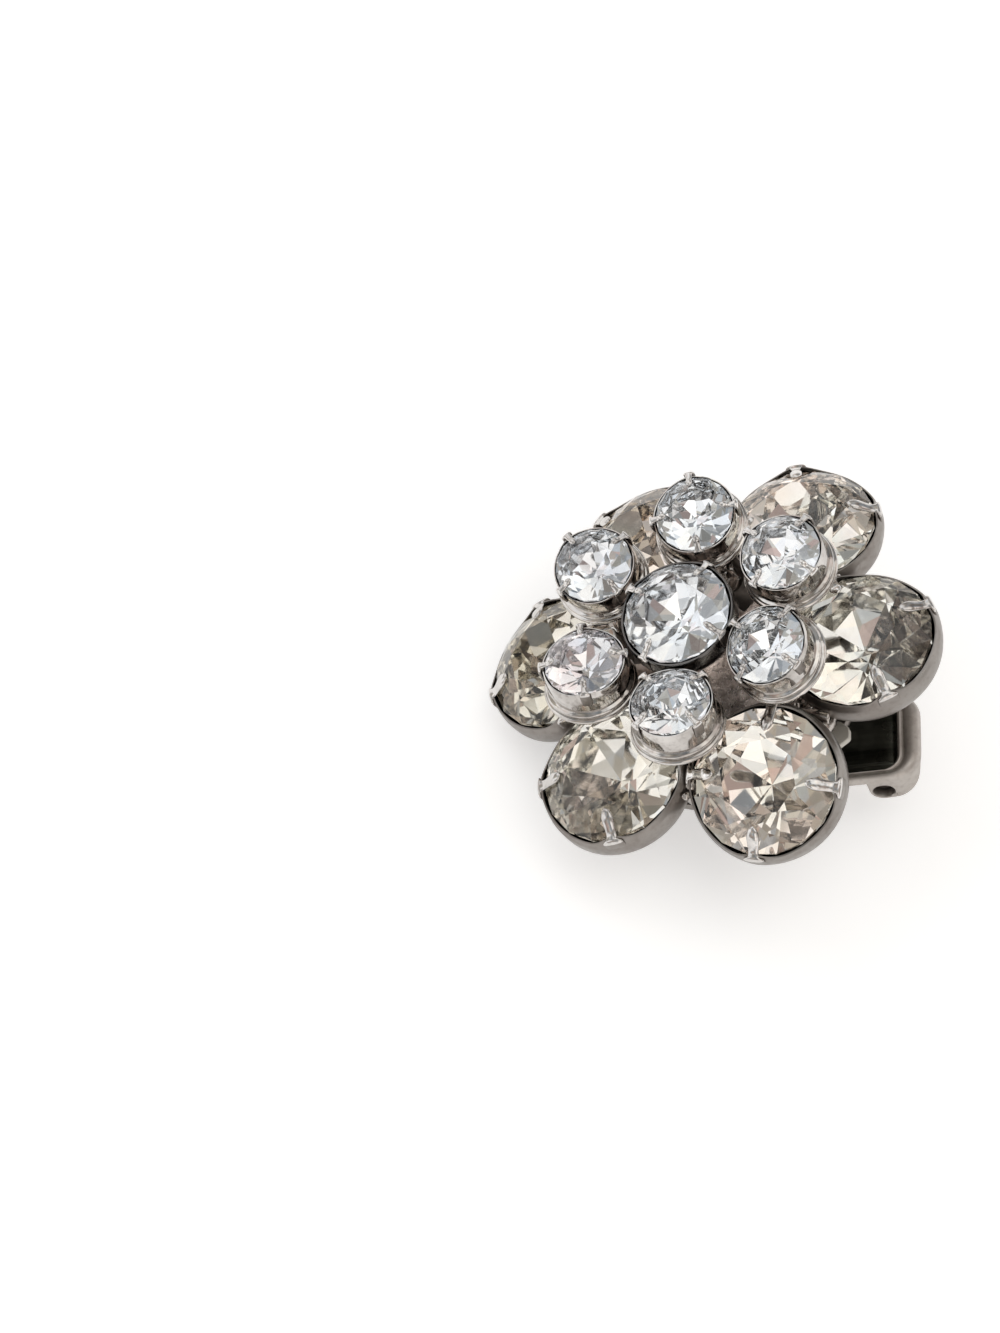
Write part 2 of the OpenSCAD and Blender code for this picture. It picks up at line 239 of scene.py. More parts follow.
def eased(points, n):
    """The polyline through the points, resampled by smooth (Catmull-Rom) curves to n stations."""
    p = np.asarray(points, float)
    p = np.vstack([2 * p[0] - p[1], p, 2 * p[-1] - p[-2]])
    t = np.linspace(0, len(p) - 3 - 1e-9, n)
    i = t.astype(int)
    f = (t - i)[:, None]
    a, b, c, d = p[i], p[i + 1], p[i + 2], p[i + 3]
    return 0.5 * (2 * b + (c - a) * f + (2 * a - 5 * b + 4 * c - d) * f ** 2
                  + (3 * b - a - 3 * c + d) * f ** 3)


# materials

class Wire:
    """A socket that can be used in expressions: each operator adds one Math node."""

    def __init__(self, paint, socket):
        self.paint, self.socket = paint, socket

    def _math(self, operation, *values):
        return self.paint.node("ShaderNodeMath", {"operation": operation}, dict(enumerate(values)))

    def __add__(self, other):
        return self._math("ADD", self, other)

    def __sub__(self, other):
        return self._math("SUBTRACT", self, other)

    def __mul__(self, other):
        return self._math("MULTIPLY", self, other)

    def __rsub__(self, other):
        return self._math("SUBTRACT", other, self)

    __radd__, __rmul__ = __add__, __mul__

    def over(self, low, high):
        """0 below low, 1 above high, straight between them."""
        return self.paint.node("ShaderNodeMapRange", {"clamp": True},
                               {"Value": self, "From Min": low, "From Max": high})


class Paint:
    """The node tree of one material or of the room."""

    def __init__(self, owner):
        owner.use_nodes = True
        self.owner, self.tree = owner, owner.node_tree
        self.tree.nodes.clear()

    def node(self, kind, settings=None, inputs=None, output=0):
        """Adds a node: its settings first, then the values or links of its sockets."""
        n = self.tree.nodes.new(kind)
        for key, value in (settings or {}).items():
            if key == "stops":
                ramp = n.color_ramp
                while len(ramp.elements) < len(value):
                    ramp.elements.new(0.5)
                for e, (at, colour) in zip(ramp.elements, value):
                    e.position, e.color = at, (*colour, 1)
            else:
                setattr(n, key, value)
        for key, value in (inputs or {}).items():
            if isinstance(value, Wire):
                self.tree.links.new(value.socket, n.inputs[key])
            else:
                n.inputs[key].default_value = value
        return None if output is None else Wire(self, n.outputs[output])

    def place(self):
        """The piece's own coordinates, in metres."""
        return self.node("ShaderNodeTexCoord", output="Object")

    def noise(self, where, scale, detail):
        """Noise whose scale is given in cycles per millimetre."""
        return self.node("ShaderNodeTexNoise", {}, {
            "Vector": where, "Scale": scale / MM, "Detail": detail, "Roughness": 0.55})

    def ramp(self, value, stops):
        return self.node("ShaderNodeValToRGB", {"stops": stops}, {"Fac": value})

    def mix(self, factor, a, b, blend="MIX"):
        """Colour a, and colour b as far as the factor says. Mix keeps its colours in sockets 6
        and 7."""
        a, b = (c if isinstance(c, Wire) else (*c, 1) for c in (a, b))
        return self.node("ShaderNodeMix", {"data_type": "RGBA", "blend_type": blend},
                         {0: factor, 6: a, 7: b}, output=2)

    def bump(self, height, distance, strength):
        """A bump that is so many millimetres deep."""
        return self.node("ShaderNodeBump", {}, {
            "Height": height, "Distance": distance * MM, "Strength": strength})

    def finish(self, **inputs):
        """Ends a material in one Principled shader. An underscore stands for a space."""
        names = {k.replace("_", " "): (*v, 1) if isinstance(v, tuple) else v
                 for k, v in inputs.items()}
        shader = self.node("ShaderNodeBsdfPrincipled", {}, names, output="BSDF")
        self.node("ShaderNodeOutputMaterial", {}, {"Surface": shader}, output=None)
        return self.owner


def material(name):
    return Paint(bpy.data.materials.new(name))


# painted shade: the plating darkens fully below the first height over the floor and not at all
# above the second
FLOOR_SHADE_LOW, FLOOR_SHADE_HIGH = 2.0, 9.0


def plated(name, light, dark, rough, floor_shade, wear=0.004, metallic=1.0):
    """Plating that has dulled: two tones in soft patches, painted shade that darkens it towards the
    floor by the given share, roughness in the same patches and very small scratches."""
    p = material(name)
    where = p.place()
    patches = p.noise(where, 0.35, 4)
    specks = p.noise(where, 2.6, 3)
    height = p.node("ShaderNodeSeparateXYZ", {}, {0: where}, output="Z")
    # painted shade: full near the floor, gone higher up
    low = 1 - height.over(FLOOR_SHADE_LOW * MM, FLOOR_SHADE_HIGH * MM)
    stain_and_shade = patches.over(0.42, 0.66) * 0.6 + specks.over(0.5, 0.72) * 0.4 + low * floor_shade
    colour = p.mix(stain_and_shade.over(0.0, 1.15), light, dark)
    roughness = rough[0] + (patches * 0.5 + specks * 0.5).over(0.35, 0.65) * (rough[1] - rough[0])
    scratch = p.noise(where, 9.0, 2)
    return p.finish(Base_Color=colour, Metallic=metallic, Roughness=roughness,
                    Normal=p.bump(scratch * 0.6 + specks, wear, 0.6))


def brushed(name, light, dark, turn):
    """Rolled steel with streaks along one axis of its place, here in near-black tones that are
    painted shade: the noise reads the coordinates measured along that place's axes, drawn out
    twelve times along the first."""
    p = material(name)
    where = p.place()
    along = [p.node("ShaderNodeVectorMath", {"operation": "DOT_PRODUCT"},
                    {0: where, 1: tuple(turn[:, k])}, output="Value") for k in range(3)]
    drawn = p.node("ShaderNodeCombineXYZ", {}, {0: along[0] * (1 / 12), 1: along[1], 2: along[2]})
    streaks = p.noise(drawn, 1.6, 3)
    patches = p.noise(where, 0.5, 2)
    colour = p.mix((streaks.over(0.4, 0.68) + patches.over(0.5, 0.7)) * 0.5, dark, light)
    return p.finish(Base_Color=colour, Metallic=1.0, Roughness=0.26 + patches.over(0.3, 0.7) * 0.2,
                    Normal=p.bump(streaks, 0.02, 0.7))


def cut_glass(name, tint, smear):
    """Clear glass with a trace of colour and faint smears that dull it here and there."""
    p = material(name)
    where = p.place()
    film = p.noise(where, 0.8, 3)
    colour = p.mix(film.over(0.35, 0.7), (1.0, 1.0, 1.0), tint)
    return p.finish(Base_Color=colour, Roughness=film.over(0.45, 0.75) * smear,
                    IOR=1.55, Transmission_Weight=1.0)


def foil(name, bright, warm, blush, worn):
    """The mirror behind the glass: bright silver with slow warm, rosy and dull patches of age."""
    p = material(name)
    where = p.place()
    warmth = p.noise(where, 0.17, 1)
    rose = p.noise(where, 0.11, 1)
    age = p.noise(where, 0.3, 2)
    colour = p.mix(warmth.over(0.44, 0.56), bright, warm)
    colour = p.mix(rose.over(0.56, 0.66), colour, blush)
    colour = p.mix(age.over(0.52, 0.72) * 0.7, colour, worn)
    return p.finish(Base_Color=colour, Metallic=1.0, Roughness=0.015 + age.over(0.45, 0.7) * 0.06)


METAL = plated("warm_plating", (0.29, 0.27, 0.252), (0.20, 0.172, 0.155), (0.27, 0.44), 0.25)
BRIGHT = plated("bright_plating", (0.64, 0.615, 0.59), (0.22, 0.192, 0.172), (0.05, 0.14), 0.25)
STEEL = plated("dark_plating", (0.16, 0.155, 0.15), (0.07, 0.062, 0.056), (0.16, 0.32), 0.2)
# the hub's brown, with its tones pushed almost to white and made less metallic so that it reads
# lighter in the shade between the cups: painted light
BROWN = plated("brown_hub_painted_light", (0.98, 0.87, 0.81), (0.52, 0.42, 0.36), (0.2, 0.38), 0.1,
               wear=0.12, metallic=0.75)
CLAW = plated("claw_plating", (0.72, 0.70, 0.68), (0.30, 0.275, 0.26), (0.06, 0.17), 0.1,
              wear=0.012)
CLIP_METAL = plated("clip_plating", (0.50, 0.468, 0.438), (0.33, 0.295, 0.265), (0.38, 0.54),
                    0.15)
# the flat spring and the lever's barrel are painted near black: painted shade inside the clip
INNER_SHADE = brushed("clip_inner_painted_shade", (0.13, 0.135, 0.115), (0.03, 0.032, 0.027), CLIP.turn)
SOLDER = plated("solder", (0.54, 0.51, 0.48), (0.22, 0.185, 0.16), (0.12, 0.28), 0.4)
# the cups' insides are painted near black: painted shade in the gap round each stone
SHADE = plated("cup_inside_painted_shade", (0.055, 0.05, 0.046), (0.02, 0.018, 0.016), (0.3, 0.5), 0.2)
# the lug is lighter and far less metallic than the plating so that it reads lit where it lies in
# shade: painted light
LUG = plated("lug_plating_painted_light", (0.62, 0.60, 0.545), (0.50, 0.48, 0.43), (0.34, 0.5), 0.1, metallic=0.1)
# the pin is painted near black so that the hole round it reads dark: painted shade
PIN = plated("pin_steel_painted_shade", (0.06, 0.05, 0.045), (0.03, 0.025, 0.022), (0.3, 0.45), 0.2)
COOL_GLASS = cut_glass("cool_glass", (0.95, 0.975, 1.0), 0.06)
WARM_GLASS = cut_glass("warm_glass", (0.97, 0.955, 0.90), 0.08)
COOL_FOIL = foil("cool_foil", (0.88, 0.895, 0.91), (0.85, 0.855, 0.86), (0.90, 0.85, 0.85),
                 (0.72, 0.715, 0.725))
WARM_FOIL = foil("warm_foil", (0.92, 0.92, 0.895), (0.91, 0.885, 0.84), (0.94, 0.865, 0.83),
                 (0.78, 0.755, 0.72))
OLIVE_FOIL = foil("olive_foil", (0.85, 0.835, 0.785), (0.835, 0.80, 0.74), (0.87, 0.79, 0.74),
                  (0.72, 0.685, 0.63))


# stones

# a stone is drawn a hundredth smaller than its node, and its table a little smaller again
STONE_FIT, TABLE_FIT = 0.99, 0.96
# where the star points and the points of the lower facets lie, as shares of the radius
STAR_SHARE, LOWER_SHARE = 0.74, 0.7


def brilliant(r):
    """A round stone cut with flat facets, as points and faces, with 0 for glass and 1 for foil.
    Eight kites rise from the girdle to the table's corners; a kite is flat because the star
    points' shared height is read off its middle line. Star and girdle facets are triangles. Below,
    eight broad foil-backed kites meet in the point, with short triangles along the girdle."""
    a0 = np.radians(45 * np.arange(8))
    a1 = a0 + math.radians(22.5)
    half = math.cos(math.radians(22.5))
    band = r * GIRDLE_SHARE
    table = r * TABLE_SHARE / half * TABLE_FIT
    top = (r - r * TABLE_SHARE) * math.tan(math.radians(CROWN_SLOPE)) + band
    culet = -(r * math.tan(math.radians(PAVILION_SLOPE)) + band)

    def ring(radius, angles, z):
        return np.stack([radius * np.cos(angles), radius * np.sin(angles), np.full(8, z)], -1)

    lower = r * LOWER_SHARE
    lower_z = culet - (band + culet) * lower * half / r
    star = r * STAR_SHARE
    star_z = top + (band - top) * (star * half - table) / (r - table)
    points = np.vstack([
        ring(table, a0, top), ring(star, a1, star_z), ring(r, a0, band), ring(r, a1, band),
        ring(r, a0, -band), ring(r, a1, -band), ring(lower, a1, lower_z), [[0, 0, culet]]])
    t, s, g, m, h, n, w, c = (8 * k for k in range(8))
    faces, slots = [tuple(range(8))], [0]
    for k in range(8):
        j, i = (k + 1) % 8, (k - 1) % 8
        faces += [(t + k, s + k, t + j), (t + k, s + i, g + k, s + k),
                  (s + k, g + k, m + k), (s + k, m + k, g + j),
                  (g + k, h + k, n + k, m + k), (m + k, n + k, h + j, g + j),
                  (h + k, w + k, n + k), (n + k, w + k, h + j), (w + i, c, w + k, h + k)]
        slots += [0, 0, 0, 0, 0, 0, 1, 1, 1]
    return points, faces, slots


def add_stone(name, node, r, where, glass, back, slot_name, turn):
    """One stone as a piece of its own, turned in its seat by so many degrees."""
    points, faces, slots = brilliant(r * STONE_FIT)
    shells = Shells()
    shells.add(points, faces, where.within(about_z(turn)), slots)
    shells.piece(name, "cluster", [glass, back], slot_name, [node], smooth=False)


LARGE_TURN, SMALL_TURN, CENTRE_TURN = [8, -13, 20, 3, -6, 14], [5, 17, -9, 12, -3, 21], 16
OLIVE_STONES = (1, 2)
for k, s in enumerate(LARGE_SEATS):
    add_stone(f"large_brilliant_{k + 1}", f"large_stone_{k + 1}", LARGE_R, seat(*s),
              WARM_GLASS, OLIVE_FOIL if k in OLIVE_STONES else WARM_FOIL, "large_glass",
              LARGE_TURN[k])
for k, s in enumerate(SMALL_SEATS):
    add_stone(f"small_brilliant_{k + 1}", f"small_stone_{k + 1}", SMALL_R, seat(*s),
              COOL_GLASS, COOL_FOIL, "small_glass", SMALL_TURN[k])
add_stone("centre_brilliant", "centre_stone", CENTRE_R, seat(*CENTRE_SEAT),
          COOL_GLASS, COOL_FOIL, "small_glass", CENTRE_TURN)


# cups and claws

# how far a drawn cup's rim reaches past its stone, and the height at which a claw leaves the wall
RIM, CLAW_ROOT = 0.2, -0.75


def bowl(r, straight, shoulder, floor_r):
    """Half section of a drawn bowl from its floor up to the start of the wall."""
    bend = arc((r - shoulder, -straight), shoulder, PAVILION_SLOPE - 90, 0, 7)
    low = bend[0, 1] - (bend[0, 0] - floor_r) * math.tan(math.radians(PAVILION_SLOPE))
    return np.vstack([[floor_r - 0.1, low], [floor_r + 0.05, low + 0.03], bend])


def near_claw(a, width):
    """1 at the four claws, falling off as a bell of that width in radians."""
    off = (a + math.pi / 4) % (math.pi / 2) - math.pi / 4
    return np.exp(-(off / width) ** 2)


def inside_slots(rings, around, first):
    """Slot 1, the painted shade of the inside, for the quads from that ring on, slot 0 before it
    and for the outer cap.
    """
    slots = [0] * (first * around) + [1] * ((rings - 1 - first) * around)
    return slots + [0] * around + [1] * around


def add_cup(shells, r, form, where, rise=0.34, dip=0.4, swell=0.15, square=0.06, fold=0.2):
    """A drawn cup: a bowl, a wall that swells out below its thin rim, and the inside the same way
    back. The rim rises to each claw and dips between them, the wall stands out at the claws, and
    the rim folds inward at their roots."""
    edge, inner = r + RIM, r + STONE_GAP
    outside = bowl(edge + swell, *form)
    inside = bowl(inner, form[0], form[1] - WALL, form[2] - STONE_GAP)
    wall = [[edge + swell, -0.85], [edge + swell * 0.96, -0.6], [edge + swell * 0.7, -0.35],
            [edge + swell * 0.3, -0.1], [edge, rise - 0.06], [edge - 0.03, rise],
            [inner + 0.02, rise], [inner, rise - 0.05], [inner, -0.1], [inner, -0.7]]
    profile = np.vstack([outside, wall, inside[::-1]])

    def folded(section, a):
        """How far the rim leans over at a claw's root."""
        return climb(section[:, 1:2], 0.05, 0.25) * fold * near_claw(a, 0.17)[None]

    def stand(section, a):
        share = climb(section[:, 1:2], -1.6, 0.9)
        return (share * square * (near_claw(a, 0.22) + 0.7 * np.cos(4 * a) - 0.1)[None]
                - folded(section, a))

    def lift(section, a):
        share = climb(section[:, 1:2], -0.4, 0.6)
        return share * (near_claw(a, 0.26) - 1)[None] * dip + folded(section, a)

    around = 144
    rings = revolved(profile, around, stand, lift)
    shells.tube(rings, where, slot=inside_slots(len(rings), around, len(outside) + 6))


def add_small_cup(shells, where):
    """A straight cup: wall with a faint swell, then two round rings one above the other at its
    foot, and the inside back down."""
    outer, inner = SMALL_R + 0.13, SMALL_R + 0.03
    foot = outer + 0.36
    low = -SMALL_DEPTH
    outside = np.vstack([
        [[1.6, low + 0.1], [2.3, low + 0.1], [2.45, low + 0.02]],
        arc((foot - 0.2, low + 0.2), 0.2, -80, 70, 8),
        [[outer + 0.06, low + 0.43]],
        arc((outer + 0.06, low + 0.6), 0.15, -70, 80, 7),
        [[outer - 0.01, low + 0.82], [outer, -1.4], [outer + 0.04, -0.9], [outer + 0.04, -0.4],
         [outer + 0.01, -0.05], [outer - 0.02, 0.12]]])
    profile = np.vstack([
        outside, [[inner + 0.02, 0.12], [inner, 0.08], [inner, -0.3], [inner, -1.0]],
        bowl(inner, 1.0, 0.9, 0.85)[:-1][::-1]])

    def lift(section, a):
        share = climb(section[:, 1:2], -0.35, 0.45)
        return share * (near_claw(a, 0.32) - 1)[None] * 0.16

    around = 96
    rings = revolved(profile, around, None, lift)
    shells.tube(rings, where, slot=inside_slots(len(rings), around, len(outside)))


def add_claws(shells, r, where, base, tip, reach, thick):
    """Four claws: each rises from the wall, bends over the girdle and lies along the crown. Its
    section is an oval with a dent along the outside. It is base wide where it leaves the wall,
    narrows quickly to a strap that is tip wide and ends in a thicker round knob. Slot 1, the
    wall's metal, goes up to the rim."""
    outer = r + RIM
    slope = math.tan(math.radians(CROWN_SLOPE))

    def crown(rho):
        return r * GIRDLE_SHARE + (r - rho) * slope

    lift = 0.05 + thick
    fold = crown(r) + 0.26
    stations, around, on_wall = 28, 16, 8
    path = eased([[outer, 0, CLAW_ROOT], [outer + 0.06, 0, -0.3], [outer + 0.06, 0, fold - 0.2],
                  [outer, 0, fold - 0.03], [outer - 0.12, 0, fold],
                  [r - 0.25, 0, crown(r - 0.25) + lift],
                  [r - reach * 0.62, 0, crown(r - reach * 0.62) + lift],
                  [r - reach, 0, crown(r - reach) + lift * 0.8]], stations)
    s = np.linspace(0, 1, stations)
    width = tip / 2 + (base - tip) / 2 * np.exp(-(np.clip(s - 0.3, 0, 1) / 0.2) ** 2)
    nose = climb(s, 0.88, 0.1205)
    knob = np.exp(-((s - 0.86) / 0.08) ** 2)
    width *= np.sqrt(np.clip(1 - nose ** 2, 0.02, 1)) * (1 + 0.2 * knob)
    thickness = thick * np.sqrt(np.clip(1 - nose ** 2, 0.03, 1)) * (1 + 0.5 * knob)
    slots = [1] * (on_wall * around) + [0] * ((stations - 1 - on_wall) * around)
    slots += [1] * around + [0] * around
    for k in range(4):
        rings = swept(path, (0, 1, 0), width, thickness, n=around, power=2.4, dent=0.65)
        shells.tube(rings, where.within(about_z(90 * k)), slot=slots)


cups, claws = Shells(), Shells()
for s in LARGE_SEATS:
    add_cup(cups, LARGE_R, LARGE_FORM, seat(*s))
    add_claws(claws, LARGE_R, seat(*s), base=1.3, tip=0.64, reach=1.6, thick=0.14)
small_cups, centre_cup = Shells(), Shells()
add_cup(centre_cup, CENTRE_R, CENTRE_FORM, seat(*CENTRE_SEAT), rise=0.16, dip=0.2, swell=0.05,
        square=0.02, fold=0.06)
add_claws(claws, CENTRE_R, seat(*CENTRE_SEAT), base=0.8, tip=0.36, reach=0.95, thick=0.11)
for s in SMALL_SEATS:
    add_small_cup(small_cups, seat(*s))
    add_claws(claws, SMALL_R, seat(*s), base=0.68, tip=0.34, reach=0.75, thick=0.11)
cups.piece("large_cups", "cluster", [METAL, SHADE], "setting", ["setting"], auto=50)
centre_cup.piece("centre_cup", "cluster", [STEEL, SHADE], "setting", ["setting"], auto=50)
small_cups.piece("small_cups", "cluster", [BRIGHT, SHADE], "setting", ["setting"], auto=50)
claws.piece("claws", "cluster", [CLAW, METAL], "setting", ["setting"])


# hub, arms, solder and back

def polar(azimuth, radius, height):
    a = math.radians(azimuth)
    return np.array([radius * math.cos(a), radius * math.sin(a), height])


hub = Shells()


def hub_wave(section, a):
    """Shallow flutes round the column, strongest at its waist, and slanting wrinkles on them."""
    z = section[:, 1:2]
    share = np.exp(-((z + 0.5) / 1.6) ** 2)
    wrinkles = np.sin(11 * a + 2.6 * z) * np.sin(5 * a - 3.1 * z + 1.0)
    return share * (0.12 * np.cos(6 * a + 0.6) + 0.09 * wrinkles)


hub.tube(revolved(eased([[4.35, PLATE_TOP + 0.02], [4.1, -3.2], [3.75, -2.2], [3.45, -1.0],
                         [3.2, 0.1], [2.9, 1.2], [2.65, 2.0], [2.5, HUB_TOP - 0.06],
                         [2.2, HUB_TOP]], 41), 144, hub_wave), CLUSTER)
for s in SMALL_SEATS:
    start, end = polar(s[0], 2.0, 0.4), polar(s[0], s[1] - 0.3, s[2] - SMALL_DEPTH + 0.2)
    bow = (start + end) / 2 + np.array([0, 0, -0.35])
    path = eased([start, bow, end], 14)
    side = np.cross(end - start, (0, 0, 1))
    flare = 0.62 + 0.35 * np.linspace(0, 1, 14) ** 2
    hub.tube(swept(path, side, flare, 0.45, n=14, power=2.6), CLUSTER)
hub.piece("hub_and_arms", "cluster", [BROWN], "setting", ["setting"], auto=50)

rng = np.random.default_rng(7)
solder = Shells()


def add_bead(shells, centre, radii, place, phase):
    """A lump: latitude rings of a ball whose radius swells and sinks in a few slow waves. The
    phase makes lumps of one size differ."""
    lat = np.radians(np.linspace(-84, 84, 13))[:, None]
    lon = circle(18)[None]
    swell = 1 + 0.10 * np.sin(2 * lon + 3 * lat + phase) + 0.07 * np.cos(3 * lon - 2 * lat)
    ball = np.stack([np.cos(lat) * np.cos(lon) * swell, np.cos(lat) * np.sin(lon) * swell,
                     np.sin(lat) * swell + 0 * lon], -1)
    shells.tube(ball * np.asarray(radii) + centre, place)


for k in range(6):
    a, b = LARGE_SEATS[k], LARGE_SEATS[(k + 1) % 6]
    mid = (polar(*a[:3]) + polar(*b[:3])) / 2
    out = mid / np.linalg.norm(mid[:2]) * np.array([1, 1, 0])
    aside = np.cross(out, (0, 0, 1))
    add_bead(solder, mid + (0, 0, -1.7), (0.9, 0.9, 1.0), CLUSTER, k)
    add_bead(solder, mid - out * 1.5 + (0, 0, -1.9), (1.1, 1.1, 0.8), CLUSTER, k + 2)
    for drop_number in range(9):
        shift = out * rng.uniform(-2.3, 0.5) + aside * rng.uniform(-0.4, 0.4)
        shift[2] += rng.uniform(-1.25, -0.75)
        size = rng.uniform(0.17, 0.34)
        add_bead(solder, mid + shift, (size, size * 0.8, size * 0.7), CLUSTER, k + drop_number)
# knobs and one short bar that show between the cups: place in the cluster, radius
KNOBS = [((0.12, -6.92, -0.6), 0.36), ((0.56, -7.28, -0.6), 0.3), ((0.37, -7.8, -0.55), 0.3),
         ((-8.62, 5.0, 0.1), 0.3), ((-8.3, 4.7, 0.05), 0.24), ((-7.1, -4.2, -0.1), 0.3),
         ((-7.6, -4.9, 0.0), 0.34), ((-8.3, -5.1, 0.0), 0.26)]
for k, (at, size) in enumerate(KNOBS):
    add_bead(solder, np.array(at), (size, size * 0.9, size * 0.8), CLUSTER, k)
solder.tube(swept(eased([(-0.15, -7.5, -0.75), (0.3, -8.4, -0.6), (0.52, -9.2, -0.65)], 16),
                  (0.9, 0.35, 0.1), 0.42, 0.3, n=16, power=2.4), CLUSTER)
solder.piece("solder", "cluster", [SOLDER], "setting", ["setting"])

back = Shells()
back.tube(revolved([[0.3, PLATE_TOP], [8.2, PLATE_TOP], [8.5, PLATE_TOP - 0.08],
                    [PLATE_R, PLATE_TOP - 0.3], [PLATE_R, PLATE_LOW + 0.25],
                    [8.5, PLATE_LOW + 0.06], [8.3, PLATE_LOW], [0.3, PLATE_LOW]], 96), CLUSTER)
back.tube(revolved([[0.3, -4.45], [5.1, -4.45], [BOSS_R, -4.6], [BOSS_R, CLIP_TOP - 0.3],
                    [5.05, CLIP_TOP - 0.5], [0.3, CLIP_TOP - 0.5]], 96), CLUSTER)
for s in LARGE_SEATS:
    back.tube(revolved([[0.3, -3.6], [1.6, -3.6], [1.6, -4.3], [1.5, -4.4], [0.3, -4.4]], 36),
              seat(*s))
back.piece("back_plate", "cluster", [METAL], "setting", ["setting"], auto=40)


# clip

BAR_REACH, CORNER_R, EAR_ROUND = FRAME_REACH - 0.1, 1.8, 0.88
# the skirt's depth at the end bar, and the length over which it deepens to the ears'
BAR_SKIRT, SWEEP = 0.6, 2.9
# the band round the window at the end bar and at the sides, and the window's corners
BAR_BAND, SIDE_BAND, WINDOW_R = 1.4, 0.65, 0.9


def round_end(reach, half, radius):
    """The edge of a strip with a rounded end, seen from above: along one side, round both corners
    and back."""
    x = reach - radius
    run = np.linspace(FRAME_BACK, x - 0.1, 27)
    low = np.stack([run, np.full(27, -half)], -1)
    corner = arc((x, radius - half), radius, -90, 0, 15)
    bar = np.stack([np.full(8, reach), np.linspace(radius - half, 0, 8)], -1)[1:]
    side = np.vstack([low, corner, bar])
    return np.vstack([side, (side * (1, -1))[::-1][1:]])


frame_edge = round_end(BAR_REACH, FRAME_W / 2, CORNER_R)
window_edge = round_end(BAR_REACH - BAR_BAND, FRAME_W / 2 - SIDE_BAND, WINDOW_R)
edge_along = np.gradient(frame_edge, axis=0)
edge_along /= np.linalg.norm(edge_along, axis=1)[:, None]
inward = np.stack([-edge_along[:, 1], edge_along[:, 0]], -1)
edge_run = np.concatenate([[0], np.cumsum(np.linalg.norm(np.diff(frame_edge, axis=0), axis=1))])
from_bar = np.abs(edge_run - edge_run[-1] / 2)
# the skirt is deep at the ears and sweeps up, as a quarter ellipse, to the end bar
to_ear = (FRAME_W / 2 - CORNER_R) + CORNER_R * math.pi / 2 + BAR_REACH - CORNER_R - PIVOT_X
sweep = np.sqrt(np.clip(1 - ((to_ear - from_bar) / SWEEP) ** 2, 0, 1))
sweep = np.convolve(np.pad(sweep, 2, "edge"), (0.1, 0.2, 0.4, 0.2, 0.1), "valid")
drop = BAR_SKIRT + (EAR_ROUND - PIVOT_Z - BAR_SKIRT) * sweep
drop = np.where(frame_edge[:, 0] < BAR_REACH - CORNER_R - 0.05, FRAME_T, drop)
# across the band: way from the outer edge to the window's, and height over the frame's top
ACROSS = [(1.0, -0.34), (0.99, -0.10), (0.94, 0.0), (0.87, 0.03), (0.81, -0.01), (0.77, -0.08),
          (0.72, -0.09), (0.66, -0.02), (0.52, 0.02), (0.36, 0.01), (0.22, -0.05), (0.10, -0.18),
          (0.03, -0.34), (0.0, -0.52)]


def along_edge(share, height, inset=0.0):
    """Points a share of the way from the outer edge to the window's, moved inward by the inset, at
    a height that may change from station to station."""
    return np.column_stack([frame_edge + (window_edge - frame_edge) * share + inward * inset,
                            np.broadcast_to(height, len(frame_edge))])


clip = Shells()
rings = [along_edge(share, z) for share, z in ACROSS]
rings += [along_edge(0, -drop + 0.06), along_edge(0, -drop, 0.08), along_edge(0, -drop + 0.02, 0.3),
          along_edge(0, -np.minimum(drop, 0.6), 0.38), along_edge(0.93, -0.58)]
clip.tube(np.transpose(np.array(rings), (1, 0, 2)), CLIP)


def rounded(corners, radius):
    """A polygon whose corners are rounded by short quadratic curves of five points."""
    p = np.asarray(corners, float)
    before, after = np.roll(p, 1, 0) - p, np.roll(p, -1, 0) - p

    def share(way):
        return radius / np.maximum(np.linalg.norm(way, axis=1), 2 * radius)[:, None]

    start, end = p + before * share(before), p + after * share(after)
    t = np.linspace(0, 1, 5)[None, :, None]
    curve = (1 - t) ** 2 * start[:, None] + 2 * t * (1 - t) * p[:, None] + t ** 2 * end[:, None]
    return curve.reshape(-1, 2)


def plate_rings(corners, radius, low, high):
    """A flat plate: the rounded outline at both faces, drawn in a little there for soft edges."""
    soft = 0.06
    outline = rounded(corners, radius)
    middle = outline.mean(0)
    reach = np.linalg.norm(outline - middle, axis=1)[:, None]
    drawn = middle + (outline - middle) * (1 - soft / reach)
    return [np.column_stack([o, np.full(len(o), z)]) for o, z in (
        (drawn, low), (outline, low + soft), (outline, high - soft), (drawn, high))]


# the plain end of the frame under the boss
WINDOW_START = 2.2
wide = FRAME_W / 2 - 0.3
clip.tube(plate_rings([(FRAME_BACK, -wide), (WINDOW_START, -wide), (WINDOW_START, wide),
                       (FRAME_BACK, wide)], 0.2, -0.58, -0.01), CLIP)


